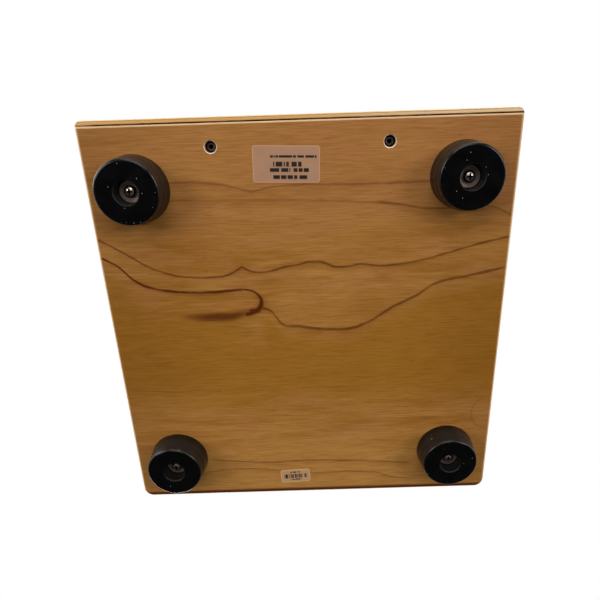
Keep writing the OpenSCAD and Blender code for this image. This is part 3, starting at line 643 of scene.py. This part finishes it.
# Rows of generic print: left, right, low, high, bar pitch, share inked, seed
MAKER_ROWS = [
    (-10.8, 20.6, -5.8, -4.4, 0.45, 0.80, 1),
    (-8.9, 10.4, -1.6, 1.5, 0.9, 0.78, 2),
    (-11.8, 15.4, 2.6, 5.0, 0.7, 0.78, 3),
    (-11.0, 14.3, 7.3, 9.7, 0.75, 0.76, 4),
]
STOCK_ROWS = [
    (-10.0, 10.0, -1.9, 2.2, 0.42, 0.52, 5),
    (-4.2, 4.2, -4.5, -3.3, 0.5, 0.75, 6),
    (-5.0, 5.0, 3.2, 4.2, 0.5, 0.75, 7),
]


# ---- materials on the CAD nodes ----


def put(material, *names):
    """Gives CAD nodes a material, through their own material slots."""
    for name in names:
        for slot in nodes[name].material_slots:
            slot.material = material


def dress_case():
    put(wood("bottom_veneer", "bottom_panel", "x", "z", bottom_figure), "bottom_panel")
    put(wood("seat_veneer", "top_panel", "x", "z", contour_rings(60, 3)), "top_panel")
    put(wood("left_veneer", "side_panel_left", "z", "x", contour_rings(52, 11)), "side_panel_left")
    put(wood("right_veneer", "side_panel_right", "z", "x", contour_rings(57, 23)), "side_panel_right")
    put(wood("front_veneer", "front_plate", "z", "y", contour_rings(44, 37, 0.6), 1, 0.34), "front_plate")
    put(wood("back_veneer", "back_panel", "z", "y", contour_rings(66, 51, 0.4), 3, 0.46), "back_panel")
    blocks = [name for name in nodes if name.startswith("corner_block")]
    put(wood("inner_softwood", blocks[0], "y", "x", contour_rings(9, 5, 0.35), 5, 0.6, -0.9), *blocks)
    bars = wood("bar_hardwood", "bridge_bar_lower", "x", "y", contour_rings(8, 7, 0.35), 3, 0.55, -0.9)
    put(bars, "bridge_bar_lower", "bridge_bar_upper")


def dress_hardware():
    brackets = ("guide_bracket_l", "guide_bracket_r", "string_anchor_l", "string_anchor_r", "string_carriage")
    sheets = [name for name in nodes if name.startswith(brackets)]
    bright = metal("bright_steel", (0.78, 0.70, 0.65), 0.27, 0.2, 0.25)
    put(rubber("foot_rubber"), *FEET)
    put(metal("black_screw", (0.06, 0.06, 0.065), 0.38), "front_plate_screws")
    put(foot_screw_steel("foot_screw_steel"), "foot_screws")
    put(bright, "guide_bracket_screws", "string_anchor_screws")
    put(metal("dull_steel", (0.62, 0.49, 0.43), 0.5), "foot_washers", "tuning_bolt_washers")
    put(bolt_steel("bolt_steel"), *BOLTS)
    put(metal("zinc_sheet", (0.55, 0.56, 0.58), 0.32), *sheets)
    put(metal("string_brass", (0.60, 0.42, 0.16), 0.3),
        "lower_string_ends_left", "lower_string_ends_right", "upper_string_ends")
    put(felt("damper_felt"), "bridge_felts")


def dress_labels():
    maker = label("maker_paper", "maker_label", math.radians(1.9), (0.56, 0.315, 0.185), MAKER_ROWS,
                  (23.0, 12.2))
    stock = label("stock_paper", "stock_label", math.radians(-2.9), (0.66, 0.40, 0.20), STOCK_ROWS,
                  (12.75, 6.5))
    put(maker, "maker_label")
    put(stock, "stock_label")


# ---- snare strings ----


WIRE_R = 0.43


def string_route(name, side):
    """Points that a string passes, from the carriage's lip up to its anchor."""
    low, high = box_mm(name)
    bolt_x = sum(corner.x for corner in box_mm(f"tuning_bolt_{side}")) / 2
    near, far = sorted((low.x, high.x), key=lambda x: abs(x - bolt_x))
    inward = WIRE_R if far > near else -WIRE_R
    low_x, high_x = near + inward, far - inward
    lip_y = sum(corner.y for corner in box_mm(f"lower_string_ends_{side}")) / 2
    lip_z = low.z + 4
    anchor_z = sum(corner.z for corner in box_mm("upper_string_ends")) / 2
    anchor_y = box_mm(f"string_anchor_{side}")[0].y
    bar_low = box_mm("bridge_bar_lower")[0].z
    bar_high = box_mm("bridge_bar_upper")[1].z
    plate_y = low.y + WIRE_R + 0.08

    def x_at(z):
        return low_x + (high_x - low_x) * (z - low.z) / (anchor_z - low.z)

    return [Vector(p) for p in (
        (low_x, lip_y, low.z), (low_x, lip_y, lip_z), (x_at(bar_low), plate_y, bar_low),
        (x_at(bar_high), plate_y, bar_high), (high_x, anchor_y - 1.5, anchor_z),
        (high_x, anchor_y + 1.5, anchor_z))]


def along_route(points, step):
    """The route's points with extra ones between, at most a step apart."""
    spots = [points[0]]
    for a, b in zip(points, points[1:]):
        count = max(1, math.ceil((b - a).length / step))
        spots += [a.lerp(b, i / count) for i in range(1, count + 1)]
    return spots


def tube(name, spots, radius, sides=10):
    """Closed round tube along a list of points, in millimetres."""
    verts, faces = [], []
    for i, spot in enumerate(spots):
        along = (spots[min(i + 1, len(spots) - 1)] - spots[max(i - 1, 0)]).normalized()
        across = along.cross(Vector((1, 0, 0))).normalized()
        other = along.cross(across)
        for k in range(sides):
            angle = 2 * math.pi * k / sides
            verts.append(mm(*(spot + (across * math.cos(angle) + other * math.sin(angle)) * radius)))
    for i in range(len(spots) - 1):
        for k in range(sides):
            a, b = i * sides + k, i * sides + (k + 1) % sides
            faces.append((a, b, b + sides, a + sides))
    faces.append(tuple(reversed(range(sides))))
    faces.append(tuple(range(len(verts) - sides, len(verts))))
    mesh = bpy.data.meshes.new(name)
    mesh.from_pydata(verts, [], faces)
    mesh.shade_smooth()
    piece = bpy.data.objects.new(name, mesh)
    SCENE.collection.objects.link(piece)
    return piece


def make_strings():
    """Four wound strings. Their lower ends move with the carriages, and their upper ends stay still."""
    bronze = wire("string_wire")
    for side in ("left", "right"):
        for which in ("outer", "inner"):
            name = f"string_{side}_{which}"
            points = string_route(name, side)
            piece = tube(f"wound_{name}", along_route(points, 4.0), WIRE_R)
            piece.data.materials.append(bronze)
            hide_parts(name)
            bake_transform(piece)


# ---- stage ----

WARM_LIGHT = (1.0, 0.97, 0.93)


def area_light(name, place, target, size, power, color=(1, 1, 1), tall=None):
    data = bpy.data.lights.new(name, "AREA")
    data.energy, data.color, data.size = power, color, mm(size)
    if tall:
        data.shape, data.size_y = "RECTANGLE", mm(tall)
    lamp = bpy.data.objects.new(name, data)
    lamp.location = mm(*place)
    lamp.rotation_euler = (mm(*target) - lamp.location).to_track_quat("-Z", "Y").to_euler()
    SCENE.collection.objects.link(lamp)
    return lamp


def make_floor():
    """Pale floor under the feet. Seen from below it is clear, because the camera looks at the underside."""
    side, drop = mm(16000), mm(0.4)
    mesh = bpy.data.meshes.new("floor")
    corners = [(x * side, y * side, -drop) for x, y in ((-1, -1), (1, -1), (1, 1), (-1, 1))]
    mesh.from_pydata(corners, [], [(0, 1, 2, 3)])
    floor = bpy.data.objects.new("floor", mesh)
    SCENE.collection.objects.link(floor)
    n = Nodes("pale_floor")
    cloud = n.noise(n.place, 0.004, 3.0)
    color = n.mix(cloud, (0.80, 0.80, 0.80), (0.84, 0.84, 0.84))
    pale = n.add("ShaderNodeBsdfPrincipled", Base_Color=color, Roughness=0.7).outputs[0]
    clear = n.add("ShaderNodeBsdfTransparent").outputs[0]
    under = n.add("ShaderNodeNewGeometry").outputs["Backfacing"]
    away = n.math("SQRT", n.math("ADD", n.times(n.x, n.x), n.times(n.y, n.y)))
    mixed = n.add("ShaderNodeMixShader", Fac=n.most(under, n.fade(away, 450.0, 1300.0)))
    n.feed(mixed.inputs[1], pale)
    n.feed(mixed.inputs[2], clear)
    n.feed(n.output.inputs["Surface"], mixed.outputs[0])
    mesh.materials.append(n.material)
    floor.visible_shadow = False
    floor.visible_diffuse = False
    floor.visible_glossy = False


def make_world():
    """White to the camera. As light, pale from above and nearly black from below, like a dark floor."""
    world = bpy.data.worlds.new("studio")
    SCENE.world = world
    world.use_nodes = True
    tree = world.node_tree
    tree.nodes.clear()
    path = tree.nodes.new("ShaderNodeLightPath")
    place = tree.nodes.new("ShaderNodeTexCoord")
    split = tree.nodes.new("ShaderNodeSeparateXYZ")
    ramp = tree.nodes.new("ShaderNodeMapRange")
    seen = tree.nodes.new("ShaderNodeBackground")
    lighting = tree.nodes.new("ShaderNodeBackground")
    mixed = tree.nodes.new("ShaderNodeMixShader")
    output = tree.nodes.new("ShaderNodeOutputWorld")
    for socket, value in zip(ramp.inputs[1:5], (-0.1, 0.3, 0.045, 0.5)):
        socket.default_value = value
    seen.inputs["Color"].default_value = (1, 1, 1, 1)
    lighting.inputs["Color"].default_value = (0.97, 0.98, 1.0, 1)
    tree.links.new(place.outputs["Generated"], split.inputs[0])
    tree.links.new(split.outputs[2], ramp.inputs[0])
    tree.links.new(ramp.outputs[0], lighting.inputs["Strength"])
    tree.links.new(path.outputs["Is Camera Ray"], mixed.inputs[0])
    tree.links.new(lighting.outputs[0], mixed.inputs[1])
    tree.links.new(seen.outputs[0], mixed.inputs[2])
    tree.links.new(mixed.outputs[0], output.inputs[0])
    SCENE.view_settings.view_transform = "Standard"


def make_lights():
    # from below, for the underside: in front and to the sides, so that nothing glossy mirrors them
    area_light("under_front", (0, -3200, -2800), (0, 0, 19), 2600, 62.0, WARM_LIGHT)
    area_light("under_left", (-3000, -1500, -2200), (0, 0, 19), 1700, 58.5, WARM_LIGHT)
    area_light("under_right", (3000, -1500, -2200), (0, 0, 19), 1700, 58.5, WARM_LIGHT)
    # almost level, for a thin bright line along the front and side edges
    area_light("rim_front", (0, -1400, -40), (0, 0, 19), 1500, 7.0, WARM_LIGHT, 160)
    area_light("rim_left", (-1400, -100, -40), (0, 0, 19), 900, 1.5, WARM_LIGHT, 160)
    area_light("rim_right", (1400, -100, -40), (0, 0, 19), 900, 2.5, WARM_LIGHT, 160)
    # from above, for the standing views
    area_light("key", (1100, -1300, 1500), (0, 0, 240), 900, 42.0, (1.0, 0.98, 0.95))
    area_light("fill", (-1500, -700, 900), (0, 0, 240), 1200, 18.0)
    area_light("rear", (-700, 1500, 1300), (0, 0, 240), 1000, 30.0)


def make_camera():
    """Close to the underside, level with the front plate and tilted towards the back of the case."""
    data = bpy.data.cameras.new("camera")
    data.sensor_width, data.lens = 36.0, 27.55
    data.shift_x, data.shift_y = -0.025, -0.0015
    data.clip_start, data.clip_end = 0.02, 60.0
    camera = bpy.data.objects.new("camera", data)
    from_joint = Vector((7.84, 9.54, -326.1))  # from the front joint's middle, on the underside
    place = Vector((0, JOINT_Y, BOTTOM_Z)) + from_joint
    roll, tilt, pan = (math.radians(a) for a in (-1.85, 19.74, 0.21))
    turn = Matrix.Rotation(roll, 3, "Z") @ Matrix.Rotation(tilt, 3, "X") @ Matrix.Rotation(pan, 3, "Y")
    camera.matrix_world = (Matrix.Translation(mm(*place))
                           @ (turn.transposed() @ Matrix.Diagonal((1, -1, -1))).to_4x4())
    SCENE.collection.objects.link(camera)
    SCENE.camera = camera


make_camera()
dress_case()
dress_hardware()
dress_labels()
make_strings()
make_floor()
make_world()
make_lights()
